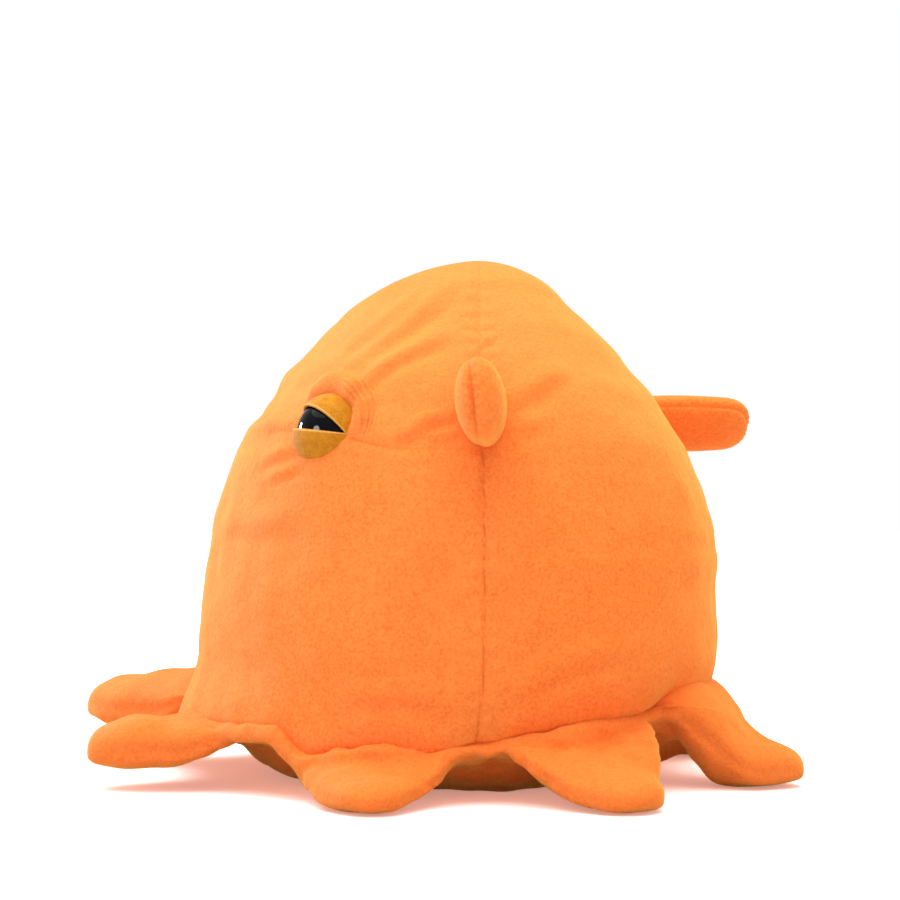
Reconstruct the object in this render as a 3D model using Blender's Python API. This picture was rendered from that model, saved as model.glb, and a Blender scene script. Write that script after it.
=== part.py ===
"""A stuffed octopus toy: a domed mantle on a skirt of webs and eight arms, with side fins and lidded eyes.

The toy faces -Y, its left side is +X, and it stands on the floor at z = 0. Lengths are in metres.
An azimuth is measured round the toy in degrees from its face, positive towards its left side.
"""

import math
from typing import NamedTuple

import bpy
import numpy as np
from mathutils import Matrix, Vector

# Sewing clearance between pieces that touch
CLEARANCE = 0.0004

# How many columns go round an arm, a fin, an eye or a washer, and round a brow
ROUND_COLUMNS = 16
BROW_COLUMNS = 10

# Mantle: the stuffed dome
MANTLE_HEIGHT = 0.203
MANTLE_RADIUS = 0.1030
WIDEST_HEIGHT = 0.047
DOME_POWER = 0.54
PEAK_LEAN = 0.009
EVEN_LEAN = 0.35
PEAK_LEAN_POWER = 10
HEM_SHIFT_POWER = 1.6
HEM_RADIUS = 0.0985
HEM_HEIGHT = 0.0200
HEM_TILT = 0.0035
HEM_TILT_AZIMUTH = 200.0
HEM_SHIFT = 0.0100
HEM_SHIFT_AZIMUTH = 27.0
MANTLE_FLOOR = 0.0235
SEAM_DEPTH = 0.0009
SEAM_WIDTH_DEG = 2.0
SIDE_SEAM_AZIMUTH = 122.0
EYE_SEAM_HEIGHT = 0.1255
EYE_SEAM_HALF_WIDTH = 0.0020

# Skirt: webs between the arms, and the stuffed belly under them
WEB_MARGIN = 0.0035
WEB_FLARE = 0.0050
WEB_THICKNESS = 0.0042
WEB_LIFT = 0.0020
ARCH_POWER = 0.6
BELLY_RADIUS = 0.0640
BELLY_FLAT_RADIUS = 0.0560
WEB_INNER_RADIUS = 0.0840
BELLY_RISE, MIDDLE_RISE, WEB_RISE = 0.15, 0.60, 0.95

# Arms
ARM_ROOT_RADIUS = 0.0800
ARM_ROOT_WIDTH = 0.0540
ARM_TIP_WIDTH = 0.0310
ARM_NECK = 0.18
NECK_TO = 0.38
ARM_SEAM_SHARE = 0.38
ARM_BLUNTNESS = 0.70
ARM_SIDES_POWER = 0.85
ARM_UNDERSIDE_POWER = 0.6
TIP_UNDERSIDE = 0.35
TAPER_FROM, TAPER_TO = 0.10, 0.95
CREST_FALL_FROM, CREST_FALL_TO = 0.30, 0.75
SIDES_FALL_FROM, SIDES_FALL_TO = 0.20, 0.85

# Fins
FIN_LENGTH = 0.0520
FIN_HEIGHT = 0.0310
FIN_THICKNESS = 0.0180
FIN_CENTRE_HEIGHT = 0.1405
FIN_ROOT_DEPTH = 0.0060
FIN_SEAM_DEPTH = 0.0009
FIN_BLUNTNESS = 0.72
FIN_BLUNT_POWER = 2.4
FIN_WAIST = 0.10
LEFT_FIN_SWEEP = -7.0
RIGHT_FIN_SWEEP = 26.0
LEFT_FIN_ROLL = 6.0
RIGHT_FIN_ROLL = 55.0

# Eyes
EYE_AZIMUTH = 80.0
EYE_HEIGHT = 0.1335
EYE_BALL_RADIUS = 0.0122
EYE_SINK = 0.0040
EYE_CORNER_TILT = 11.0
SHANK_RADIUS = 0.0030
SHANK_FLARE = 1.2
SHANK_LENGTH = 0.0230
WASHER_RADIUS = 0.0090
WASHER_THICKNESS = 0.0020
WASHER_DEPTH = 0.0160
LID_THICKNESS = 0.0013
UPPER_LID_ANGLE = 17.0
LOWER_LID_ANGLE = -22.0
LID_WRAP = 112.0
LID_CORNER_ANGLE = 9.0

# Brows: the gathered fold of the mantle over each eye
BROW_ARC_RADIUS = 0.0172
BROW_THICKNESS = 0.0100
BROW_START = 140.0
BROW_END = -28.0
BROW_PROUD = 0.0020
BROW_END_THINNESS = 0.25

PLUSH_ORANGE = (0.95, 0.24, 0.045)
LID_MUSTARD = (0.71, 0.27, 0.03)
EYE_BLACK = (0.006, 0.006, 0.008)
WASHER_WHITE = (0.80, 0.80, 0.78)


class Arm(NamedTuple):
    """One arm: where its root points, how far its tip swings round, and its heights above the floor.

    The underside runs level. The crest is the top at the root, and falls to the tip's own top.
    """

    name: str
    azimuth: float
    swing: float
    reach: float
    underside: float
    crest: float
    tip_top: float


ARMS = (
    Arm("arm_front_left", 13.0, -2.0, 0.160, 0.0150, 0.0400, 0.0320),
    Arm("arm_face_left", 53.0, -3.0, 0.150, 0.0075, 0.0290, 0.0260),
    Arm("arm_side_left", 100.0, 4.0, 0.133, 0.0, 0.0220, 0.0130),
    Arm("arm_fin_left", 141.0, 4.0, 0.140, 0.0, 0.0240, 0.0135),
    Arm("arm_back", 184.0, 2.0, 0.141, 0.0, 0.0400, 0.0145),
    Arm("arm_back_right", 238.0, 2.0, 0.138, 0.0, 0.0270, 0.0135),
    Arm("arm_side_right", 282.0, 0.0, 0.140, 0.0, 0.0235, 0.0130),
    Arm("arm_face_right", 326.0, 2.0, 0.142, 0.0, 0.0215, 0.0130),
)


def smooth_step(share, start, end):
    """0 up to start, 1 from end on, with a smooth S between them."""
    t = min(1.0, max(0.0, (share - start) / (end - start)))
    return t * t * (3.0 - 2.0 * t)


def outward(azimuth):
    """The unit vector away from the toy's axis at this azimuth."""
    turn = math.radians(azimuth)
    return np.array([math.sin(turn), -math.cos(turn), 0.0])


def hem_height(azimuth):
    """The hem's height, which rises towards the back of the toy."""
    return HEM_HEIGHT + HEM_TILT * math.cos(math.radians(azimuth - HEM_TILT_AZIMUTH))


def dome_share(height):
    """0 at the widest ring, 1 at the peak."""
    return max(0.0, (height - WIDEST_HEIGHT) / (MANTLE_HEIGHT - WIDEST_HEIGHT))


def mantle_radius(azimuth, height):
    """Radius of the plain dome: a blunted ellipse above the widest ring, a quarter ellipse below it."""
    if height >= WIDEST_HEIGHT:
        return MANTLE_RADIUS * (1.0 - dome_share(height) ** 2) ** DOME_POWER
    drop = min(1.0, (WIDEST_HEIGHT - height) / (WIDEST_HEIGHT - hem_height(azimuth)))
    return HEM_RADIUS + (MANTLE_RADIUS - HEM_RADIUS) * math.sqrt(1.0 - drop**2)


def mantle_centre(height):
    """The dome's axis, which leans back near the peak and swings forward near the hem."""
    share = dome_share(height)
    lean = PEAK_LEAN * (EVEN_LEAN * share + (1.0 - EVEN_LEAN) * share**PEAK_LEAN_POWER)
    drop = max(0.0, (WIDEST_HEIGHT - height) / (WIDEST_HEIGHT - HEM_HEIGHT))
    return np.array([0.0, lean, height]) + outward(HEM_SHIFT_AZIMUTH) * HEM_SHIFT * drop**HEM_SHIFT_POWER


def mantle_point(azimuth, height, inset=0.0):
    """A place on the dome, or that far inside it."""
    radius = mantle_radius(azimuth, height) - inset
    return mantle_centre(height) + outward(azimuth) * radius


def mantle_normal(azimuth, height):
    """Outward normal of the dome, from two short steps along it."""
    step = 0.002
    up = mantle_point(azimuth, height + step) - mantle_point(azimuth, height - step)
    turn = math.degrees(step / mantle_radius(azimuth, height))
    along = mantle_point(azimuth + turn, height) - mantle_point(azimuth - turn, height)
    normal = np.cross(along, up)
    return normal / np.linalg.norm(normal)


def under_mantle(azimuth, share):
    """A place on the mantle's closed bottom, at this share of the way from the axis to the hem."""
    hem = mantle_point(azimuth, hem_height(azimuth))
    return hem * (share, share, 0) + (0, 0, MANTLE_FLOOR + (hem[2] - MANTLE_FLOOR) * share**2)


def seamed_azimuths(spacing=7.2):
    """Even columns round the toy, with three close ones at each side seam."""
    seams = (SIDE_SEAM_AZIMUTH, 360.0 - SIDE_SEAM_AZIMUTH)
    clear = spacing * 0.6
    even = [a for a in np.arange(0.0, 360.0, spacing) if min(abs(a - s) for s in seams) > clear]
    close = [s + offset for s in seams for offset in (-SEAM_WIDTH_DEG, 0.0, SEAM_WIDTH_DEG)]
    return sorted(even + close)


def seam_inset(azimuth, height):
    """How far a seam pulls the mantle in at this place."""
    side = min(abs(azimuth - SIDE_SEAM_AZIMUTH), abs(360.0 - azimuth - SIDE_SEAM_AZIMUTH))
    on_side_seam = side < SEAM_WIDTH_DEG / 2
    in_front = azimuth < SIDE_SEAM_AZIMUTH or azimuth > 360.0 - SIDE_SEAM_AZIMUTH
    on_eye_seam = in_front and abs(height - EYE_SEAM_HEIGHT) < EYE_SEAM_HALF_WIDTH / 2
    return SEAM_DEPTH if on_side_seam or on_eye_seam else 0.0


def material(name, colour, roughness):
    """A material of one plain colour and roughness."""
    made = bpy.data.materials.new(name)
    made.use_nodes = True
    shader = made.node_tree.nodes["Principled BSDF"]
    shader.inputs["Base Color"].default_value = (*colour, 1.0)
    shader.inputs["Roughness"].default_value = roughness
    return made


def object_of(name, points, faces, finish, parent=None):
    """A smooth-shaded mesh object."""
    mesh = bpy.data.meshes.new(name)
    mesh.from_pydata([tuple(map(float, p)) for p in points], [], faces)
    mesh.shade_smooth()
    if finish:
        mesh.materials.append(finish)
    made = bpy.data.objects.new(name, mesh)
    bpy.context.scene.collection.objects.link(made)
    made.parent = parent
    return made


def lofted(rings, closed_path=False):
    """Points and faces of a skin over rings of equal count, with a fan to the middle of each end."""
    count = len(rings[0])
    points = [p for ring in rings for p in ring]
    faces = []
    last = len(rings) if closed_path else len(rings) - 1
    for row in range(last):
        here = row * count
        after = (row + 1) % len(rings) * count
        for i in range(count):
            j = (i + 1) % count
            faces.append((here + i, here + j, after + j, after + i))
    if closed_path:
        return points, faces
    for ring, first, at_start in ((rings[0], 0, True), (rings[-1], (len(rings) - 1) * count, False)):
        middle = len(points)
        points.append(np.mean(ring, axis=0))
        for i in range(count):
            j = (i + 1) % count
            faces.append((first + j, first + i, middle) if at_start else (first + i, first + j, middle))
    return points, faces


def joined(shapes):
    """Several closed shapes as one list of points and faces."""
    points, faces = [], []
    for shape_points, shape_faces in shapes:
        first = len(points)
        points.extend(shape_points)
        faces.extend(tuple(first + i for i in face) for face in shape_faces)
    return points, faces


def turned(profile, count=ROUND_COLUMNS):
    """A solid of revolution about local Z, from (radius, height) pairs that run upwards."""
    angles = np.arange(count) * 2.0 * math.pi / count
    return lofted([[(r * math.cos(a), r * math.sin(a), h) for a in angles] for r, h in profile])


def placed(shape, matrix):
    """The shape moved and turned by the matrix."""
    points, faces = shape
    return [matrix @ Vector(map(float, p)) for p in points], faces


def boolean(target, operation, cutter):
    """A Boolean modifier on the target, with its cutter hidden."""
    cutter.hide_render = True
    cutter.display_type = "WIRE"
    modifier = target.modifiers.new(cutter.name, "BOOLEAN")
    modifier.operation = operation
    modifier.solver = "EXACT"
    modifier.object = cutter


def mantle_shape():
    """The dome's skin from the middle of its closed bottom, out to the hem and up to the peak."""
    azimuths = seamed_azimuths()
    rings = [[under_mantle(a, share) for a in azimuths] for share in (0.3, 0.6, 0.85)]
    for rise in (0.0, 0.12, 0.35, 0.65):
        rings.append([
            mantle_point(a, hem_height(a) + rise * (WIDEST_HEIGHT - hem_height(a)), seam_inset(a, 0.0))
            for a in azimuths
        ])
    swept = WIDEST_HEIGHT + (MANTLE_HEIGHT - WIDEST_HEIGHT) * np.sin(np.radians(np.arange(0, 88, 6.0)))
    seam = [EYE_SEAM_HEIGHT + offset * EYE_SEAM_HALF_WIDTH for offset in (-1, 0, 1)]
    heights = [h for h in swept if abs(h - EYE_SEAM_HEIGHT) > 2 * EYE_SEAM_HALF_WIDTH] + seam
    for height in sorted(heights):
        rings.append([mantle_point(a, height, seam_inset(a, height)) for a in azimuths])
    points, faces = lofted(rings)
    points[-1] = mantle_centre(MANTLE_HEIGHT)
    return points, faces


def neighbours(azimuth):
    """The arms before and after this azimuth, and how far from the one to the other it lies, 0 to 1."""
    ring = sorted(ARMS, key=lambda arm: arm.azimuth)
    before = max((arm for arm in ring if arm.azimuth <= azimuth), default=ring[-1], key=lambda arm: arm.azimuth)
    after = ring[(ring.index(before) + 1) % len(ring)]
    gap = (after.azimuth - before.azimuth) % 360.0
    return before, after, (azimuth - before.azimuth) % 360.0 / gap


def web_top(azimuth):
    """The web's upper edge, just under the hem."""
    return hem_height(azimuth) - CLEARANCE


def web_under(azimuth):
    """The web's lower edge: low on each arm, and an arch up to the web's own thickness between arms."""
    before, after, way = neighbours(azimuth)
    arch_top = web_top(azimuth) - WEB_THICKNESS
    low = min(arch_top, WEB_LIFT + before.underside * (1.0 - way) + after.underside * way)
    return low + (arch_top - low) * math.sin(math.pi * way) ** ARCH_POWER


def web_edge(azimuth, inset):
    """Level place on the web's outer edge, which flares out a little on each arm."""
    before, after, way = neighbours(azimuth)
    beyond = WEB_MARGIN + WEB_FLARE * (1.0 - math.sin(math.pi * way)) - inset
    return (mantle_point(azimuth, hem_height(azimuth)) + outward(azimuth) * beyond) * (1, 1, 0)


def skirt_shape():
    """Webs and belly: flat belly, rise to the webs' arches, rounded edge, and back under the mantle."""
    azimuths = seamed_azimuths()
    rise_middle = (BELLY_RADIUS + WEB_INNER_RADIUS) / 2
    rings = [
        [outward(a) * radius + (0, 0, share * web_under(a)) for a in azimuths]
        for radius, share in ((BELLY_FLAT_RADIUS / 2, 0.0), (BELLY_FLAT_RADIUS, 0.0),
                              (BELLY_RADIUS, BELLY_RISE), (rise_middle, MIDDLE_RISE),
                              (WEB_INNER_RADIUS, WEB_RISE))
    ]
    for inset, share in ((WEB_THICKNESS / 2, 0.0), (0.0, 0.5), (WEB_THICKNESS / 2, 1.0)):
        rings.append([
            web_edge(a, inset) + (0, 0, web_under(a) + share * (web_top(a) - web_under(a)))
            for a in azimuths
        ])
    for share in (1.0, 0.85, 0.6, 0.3):
        rings.append([under_mantle(a, share) - (0, 0, CLEARANCE) for a in azimuths])
    return lofted(rings)


def arm_shape(arm, grow=0.0):
    """A stuffed arm along its own curved path, domed above its edge seam and flatter below it.

    At share s of the path the radius runs evenly from root to reach, and the azimuth swings by s squared.
    The width has a neck at the root and then tapers, and the crest falls, each in a smooth S. Near the
    root the sides lift to the web, by the square of the distance from the arm's middle. Past the blunt
    end's start every size shrinks as a quarter ellipse.
    """
    around = np.arange(ROUND_COLUMNS) * 2.0 * math.pi / ROUND_COLUMNS
    length = arm.reach - ARM_ROOT_RADIUS + 2 * grow
    below_seam = ARM_SEAM_SHARE * (arm.tip_top - arm.underside)
    seam = arm.underside + below_seam
    side_lift = max(0.0, web_top(arm.azimuth) - WEB_THICKNESS / 2 - seam)
    rings = []
    for share in (0.0, 0.12, 0.25, 0.4, 0.55, 0.7, 0.8, 0.89, 0.96, 0.995):
        ahead = outward(arm.azimuth + arm.swing * share**2)
        aside = np.array([-ahead[1], ahead[0], 0.0])
        past = max(0.0, (share - ARM_BLUNTNESS) / (1.0 - ARM_BLUNTNESS))
        shrink = math.sqrt(1.0 - past**2)
        taper = smooth_step(share, TAPER_FROM, TAPER_TO)
        neck = 1.0 - ARM_NECK * (1.0 - smooth_step(share, 0.0, NECK_TO))
        half_width = (ARM_ROOT_WIDTH + (ARM_TIP_WIDTH - ARM_ROOT_WIDTH) * taper) * neck / 2
        crest = arm.crest + (arm.tip_top - arm.crest) * smooth_step(share, CREST_FALL_FROM, CREST_FALL_TO)
        lift = side_lift * (1.0 - smooth_step(share, SIDES_FALL_FROM, SIDES_FALL_TO))
        above = (crest - seam) * shrink + grow
        below = below_seam * (TIP_UNDERSIDE + (1.0 - TIP_UNDERSIDE) * shrink) + grow
        reach = ARM_ROOT_RADIUS - grow + length * share
        ring = []
        for angle in around:
            across = math.copysign(abs(math.cos(angle)) ** ARM_SIDES_POWER, math.cos(angle))
            upper = angle <= math.pi
            rise = above * math.sin(angle) if upper else -below * abs(math.sin(angle)) ** ARM_UNDERSIDE_POWER
            point = ahead * reach + aside * (half_width * shrink + grow) * across
            ring.append(point + (0, 0, seam + lift * across**2 + rise))
        rings.append(ring)
    return lofted(rings)


def fin_matrix(side, sweep, roll):
    """Local X runs out along the fin, Y is its thickness and Z its height; the root is on the side seam."""
    azimuth = side * SIDE_SEAM_AZIMUTH
    root = mantle_point(azimuth, FIN_CENTRE_HEIGHT)
    out = outward(azimuth + side * sweep)
    aside = np.array([-out[1], out[0], 0.0])
    frame = Matrix((out, aside, (0.0, 0.0, 1.0))).transposed().to_4x4()
    return Matrix.Translation(Vector(root)) @ frame @ Matrix.Rotation(math.radians(roll), 4, "X")


def fin_shape(grow=0.0):
    """A blunt paddle, waisted a little at its root, with its edge seam drawn in top and bottom."""
    around = np.arange(ROUND_COLUMNS) * 2.0 * math.pi / ROUND_COLUMNS
    length = FIN_LENGTH + FIN_ROOT_DEPTH
    rings = []
    for share in (0.0, 0.15, 0.35, 0.55, 0.72, 0.84, 0.92, 0.97, 0.995):
        past = max(0.0, (share - FIN_BLUNTNESS) / (1.0 - FIN_BLUNTNESS))
        shrink = math.sqrt(1.0 - past**FIN_BLUNT_POWER)
        swell = 1.0 - FIN_WAIST + FIN_WAIST * math.sin(math.pi * min(1.0, share / 0.9))
        out = share * (length + 2 * grow) - FIN_ROOT_DEPTH - grow
        ring = []
        for angle in around:
            groove = FIN_SEAM_DEPTH * shrink if abs(math.cos(angle)) < 0.01 else 0.0
            y = (FIN_THICKNESS / 2 * shrink * swell + grow) * math.cos(angle)
            z = (FIN_HEIGHT / 2 * shrink * swell + grow - groove) * math.sin(angle)
            ring.append((out, y, z))
        rings.append(ring)
    return lofted(rings)


def eye_matrix(side):
    """Local Z looks out of the eye, Y is up over the ball, and X runs towards its outer corner."""
    normal = Vector(mantle_normal(side * EYE_AZIMUTH, EYE_HEIGHT))
    outer = Vector((0.0, 0.0, 1.0)).cross(normal).normalized() * side
    up = normal.cross(outer) * side
    frame = Matrix((outer, up, normal)).transposed().to_4x4()
    centre = Vector(mantle_point(side * EYE_AZIMUTH, EYE_HEIGHT)) - normal * EYE_SINK
    tilt = Matrix.Rotation(math.radians(-EYE_CORNER_TILT), 4, "Z")
    return Matrix.Translation(centre) @ frame @ tilt


def ball_profile(radius, start):
    """(radius, height) pairs up the ball from the height where the shank meets it."""
    first = math.asin(-math.sqrt(1.0 - (start / radius) ** 2))
    angles = np.linspace(first, math.radians(84.0), 10)
    return [(radius * math.cos(a), radius * math.sin(a)) for a in angles]


def eye_shape():
    """A black ball with the shank that goes through the fabric behind it."""
    shank = [(SHANK_RADIUS, -SHANK_LENGTH), (SHANK_RADIUS, -EYE_BALL_RADIUS)]
    return turned(shank + ball_profile(EYE_BALL_RADIUS, SHANK_RADIUS * SHANK_FLARE))


def washer_shape():
    """The flat ring that locks on the shank inside the stuffing."""
    inner = SHANK_RADIUS + CLEARANCE
    low = -WASHER_DEPTH - WASHER_THICKNESS
    section = [(inner, low), (WASHER_RADIUS, low), (WASHER_RADIUS, -WASHER_DEPTH), (inner, -WASHER_DEPTH)]
    angles = np.arange(ROUND_COLUMNS) * 2.0 * math.pi / ROUND_COLUMNS
    rings = [[(r * math.cos(a), r * math.sin(a), h) for a in angles] for r, h in section]
    return lofted(rings, closed_path=True)


def eye_room():
    """The space in the mantle for ball, lids, shank and washer, each with its clearance."""
    shank = SHANK_RADIUS + CLEARANCE
    washer = WASHER_RADIUS + CLEARANCE
    ball = EYE_BALL_RADIUS + 2 * CLEARANCE + LID_THICKNESS
    back = [
        (shank, -SHANK_LENGTH - CLEARANCE),
        (shank, -WASHER_DEPTH - WASHER_THICKNESS - CLEARANCE),
        (washer, -WASHER_DEPTH - WASHER_THICKNESS - CLEARANCE),
        (washer, -WASHER_DEPTH + CLEARANCE),
        (shank, -WASHER_DEPTH + CLEARANCE),
    ]
    return turned(back + ball_profile(ball, shank * SHANK_FLARE))


def lid_shape(first, last):
    """A curved shell over the ball: it turns about the line through the eye's two corners.

    first and last are angles about that line, in degrees, from straight out of the eye towards its top.
    """
    inner = EYE_BALL_RADIUS + CLEARANCE
    outer = inner + LID_THICKNESS
    sweep = np.radians(np.linspace(first, last, 8))
    corners = np.radians(np.linspace(LID_CORNER_ANGLE, 180.0 - LID_CORNER_ANGLE, 9))
    rings = []
    for corner in corners:
        ring = [
            (radius * math.cos(corner), radius * math.sin(corner) * math.sin(a),
             radius * math.sin(corner) * math.cos(a))
            for radius, angles in ((outer, sweep), (inner, sweep[::-1]))
            for a in angles
        ]
        rings.append(ring)
    return lofted(rings)


def brow_shape():
    """A crescent roll over the eye's top and outer side, thinning to both ends."""
    around = np.arange(BROW_COLUMNS) * 2.0 * math.pi / BROW_COLUMNS
    rings = []
    for share in np.linspace(0.0, 1.0, 13):
        turn = math.radians(BROW_START + (BROW_END - BROW_START) * share)
        ray = np.array([math.cos(turn), math.sin(turn), 0.0])
        fullness = math.sin(math.pi * share**0.8)
        half = BROW_THICKNESS / 2 * (BROW_END_THINNESS + (1.0 - BROW_END_THINNESS) * fullness)
        middle = ray * BROW_ARC_RADIUS + (0, 0, BROW_PROUD + half * 0.3)
        rings.append([
            middle + ray * half * math.cos(a) + np.array([0, 0, 1.0]) * half * math.sin(a)
            for a in around
        ])
    return lofted(rings)


def facing_out(shape):
    """The shape with its faces turned round if they enclose a negative volume."""
    points, faces = shape
    place = np.array([tuple(p) for p in points])
    volume = 0.0
    for face in faces:
        for second, third in zip(face[1:], face[2:]):
            volume += np.dot(place[face[0]], np.cross(place[second], place[third]))
    return points, faces if volume > 0 else [tuple(reversed(face)) for face in faces]


def build():
    for old in list(bpy.data.objects):
        bpy.data.objects.remove(old, do_unlink=True)

    orange = material("mantle_plush", PLUSH_ORANGE, 0.9)
    skirt_plush = material("skirt_plush", PLUSH_ORANGE, 0.9)
    arm_plush = material("arm_plush", PLUSH_ORANGE, 0.9)
    fin_plush = material("fin_plush", PLUSH_ORANGE, 0.9)
    mustard = material("lid_felt", LID_MUSTARD, 0.85)
    black = material("eye_gloss", EYE_BLACK, 0.08)
    white = material("washer_plastic", WASHER_WHITE, 0.4)

    toy = bpy.data.objects.new("octopus", None)
    bpy.context.scene.collection.objects.link(toy)

    mantle = object_of("mantle", *facing_out(mantle_shape()), orange, toy)
    skirt = object_of("skirt", *facing_out(skirt_shape()), skirt_plush, toy)
    for arm in ARMS:
        object_of(arm.name, *facing_out(arm_shape(arm)), arm_plush, toy)
    arm_room = joined([facing_out(arm_shape(arm, CLEARANCE)) for arm in ARMS])
    arm_cutter = object_of("arm_room", *arm_room, None)

    brows, eye_rooms, fin_rooms = [], [], []
    fins = (("left_fin", 1, LEFT_FIN_SWEEP, LEFT_FIN_ROLL), ("right_fin", -1, RIGHT_FIN_SWEEP, RIGHT_FIN_ROLL))
    for name, side, sweep, roll in fins:
        matrix = fin_matrix(side, sweep, roll)
        fin = object_of(name, *facing_out(fin_shape()), fin_plush, toy)
        fin.location = matrix.to_translation()
        fin.rotation_euler = matrix.to_euler()
        fin_rooms.append(facing_out(placed(fin_shape(CLEARANCE), matrix)))

    lids = (("upper_lid", UPPER_LID_ANGLE, UPPER_LID_ANGLE + LID_WRAP),
            ("lower_lid", LOWER_LID_ANGLE, LOWER_LID_ANGLE - LID_WRAP))
    for word, side in (("left", 1), ("right", -1)):
        matrix = eye_matrix(side)
        object_of(f"{word}_eye", *facing_out(placed(eye_shape(), matrix)), black, toy)
        object_of(f"{word}_eye_washer", *facing_out(placed(washer_shape(), matrix)), white, toy)
        for lid, first, last in lids:
            shape = placed(lid_shape(first, last), matrix)
            object_of(f"{word}_{lid}", *facing_out(shape), mustard, toy)
        eye_rooms.append(facing_out(placed(eye_room(), matrix)))
        brows.append(facing_out(placed(brow_shape(), matrix)))

    boolean(mantle, "UNION", object_of("brow_rolls", *joined(brows), None))
    boolean(mantle, "DIFFERENCE", object_of("eye_rooms", *joined(eye_rooms), None))
    boolean(mantle, "DIFFERENCE", object_of("fin_rooms", *joined(fin_rooms), None))
    boolean(mantle, "DIFFERENCE", arm_cutter)
    boolean(skirt, "DIFFERENCE", arm_cutter)


build()
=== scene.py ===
# %% [markdown]
# Plush octopus, dressed for a studio picture.
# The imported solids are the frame: they fix every size and place. Each cell below makes one piece or
# one finish, and prints what it made. Lengths are in metres, the face looks along -Y, and +Z is up.

# %% Load the frame
import math

import bpy
import numpy as np
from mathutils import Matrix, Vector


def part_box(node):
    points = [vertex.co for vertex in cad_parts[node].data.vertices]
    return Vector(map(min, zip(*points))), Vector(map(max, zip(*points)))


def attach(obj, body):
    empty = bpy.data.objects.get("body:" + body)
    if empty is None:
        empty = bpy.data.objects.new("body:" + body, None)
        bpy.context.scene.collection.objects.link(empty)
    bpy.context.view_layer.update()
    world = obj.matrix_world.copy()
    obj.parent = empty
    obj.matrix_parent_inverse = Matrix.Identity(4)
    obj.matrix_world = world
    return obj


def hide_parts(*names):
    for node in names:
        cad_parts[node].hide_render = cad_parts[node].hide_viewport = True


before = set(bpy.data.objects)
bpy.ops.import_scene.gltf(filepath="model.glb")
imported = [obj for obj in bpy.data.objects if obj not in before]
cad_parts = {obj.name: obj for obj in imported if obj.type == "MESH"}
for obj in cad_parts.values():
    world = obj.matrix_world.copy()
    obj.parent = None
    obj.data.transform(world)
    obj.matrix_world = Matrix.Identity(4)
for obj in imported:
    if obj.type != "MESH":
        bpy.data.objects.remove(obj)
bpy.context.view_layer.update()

# %% [markdown]
# A surface here is a grid of points worked out by numpy. Columns run round the piece and rows run
# along it, so one helper can stitch any grid into faces and close its ends. Blender's own primitives
# could be pushed into shape instead, but a formula says where every point goes.

# %% Grids into faces
def grid_faces(rows, columns):
    """Quads between neighbouring rows, each row a closed loop of columns."""
    row, column = np.meshgrid(np.arange(rows - 1), np.arange(columns), indexing="ij")
    after = (column + 1) % columns
    corners = [row * columns + column, row * columns + after,
               (row + 1) * columns + after, (row + 1) * columns + column]
    return np.stack(corners, axis=-1).reshape(-1, 4)


def closed_grid(grid):
    """(points, faces) of a skin over the rows of a grid, with a fan to the middle of each end row."""
    rows, columns = grid.shape[:2]
    points = np.concatenate([grid.reshape(-1, 3), [grid[0].mean(axis=0), grid[-1].mean(axis=0)]])
    faces = grid_faces(rows, columns).tolist()
    ring = np.arange(columns)
    after = (ring + 1) % columns
    start, end = rows * columns, rows * columns + 1
    last = (rows - 1) * columns
    faces += np.stack([after, ring, np.full(columns, start)], axis=-1).tolist()
    faces += np.stack([last + ring, last + after, np.full(columns, end)], axis=-1).tolist()
    return points, faces


def end_values(values):
    """A grid of numbers as one list, with a value for each end's middle point."""
    return np.concatenate([values.ravel(), [values[0].mean(), values[-1].mean()]])


def joined(shapes):
    """Several (points, faces) shapes as one."""
    points, faces, count = [], [], 0
    for shape_points, shape_faces in shapes:
        points.append(shape_points)
        faces += [[index + count for index in face] for face in shape_faces]
        count += len(shape_points)
    return np.concatenate(points), faces


def facing_out(shape):
    """The shape, with its faces turned round if they enclose a negative volume."""
    points, faces = shape
    fans = [(face[0], b, c) for face in faces for b, c in zip(face[1:], face[2:])]
    a, b, c = (points[index] for index in np.array(fans).T)
    volume = np.einsum("ij,ij->i", a, np.cross(b, c)).sum()
    return points, faces if volume > 0 else [face[::-1] for face in faces]


def around(columns):
    """Even steps once round, in radians."""
    return np.arange(columns) * 2.0 * math.pi / columns


def crowding(rows, end):
    """A column of shares from 0 to the end, closer together near it, by a quarter of a sine wave."""
    return end * np.sin(np.linspace(0.0, math.pi / 2, rows))[:, None]


def smooth_step(value, start, end):
    """0 up to start, 1 from end on, with a smooth S between them."""
    t = np.clip((value - start) / (end - start), 0.0, 1.0)
    return t * t * (3.0 - 2.0 * t)


def bell(value, width):
    """1 at zero, falling away on both sides like a bell, to a third of it one width off."""
    return np.exp(-((value / width) ** 2))


print("a band of 2 rows and 8 columns has", len(grid_faces(2, 8)), "faces")

# %% [markdown]
# Blender keeps a shape as a mesh inside an object. These helpers make the object, read and move its
# points as whole arrays, and store numbers on them that a material can read back by name.

# %% Meshes into pieces
def placed(name, data):
    """A new object at the origin, for a mesh, a lamp or a camera."""
    made = bpy.data.objects.new(name, data)
    bpy.context.scene.collection.objects.link(made)
    return made


def new_piece(name, shape):
    """A smooth-shaded object from its points and faces."""
    points, faces = shape
    mesh = bpy.data.meshes.new(name)
    mesh.from_pydata(points.tolist(), [], faces)
    mesh.shade_smooth()
    return placed(name, mesh)


def read_vectors(items, key):
    """A mesh's vertex places or normals as rows of three."""
    flat = np.empty(len(items) * 3, np.float32)
    items.foreach_get(key, flat)
    return flat.reshape(-1, 3).astype(float)


def move_points(piece, points):
    """New places for all the vertices of a piece."""
    piece.data.vertices.foreach_set("co", points.astype(np.float32).ravel())
    piece.data.update()


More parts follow.
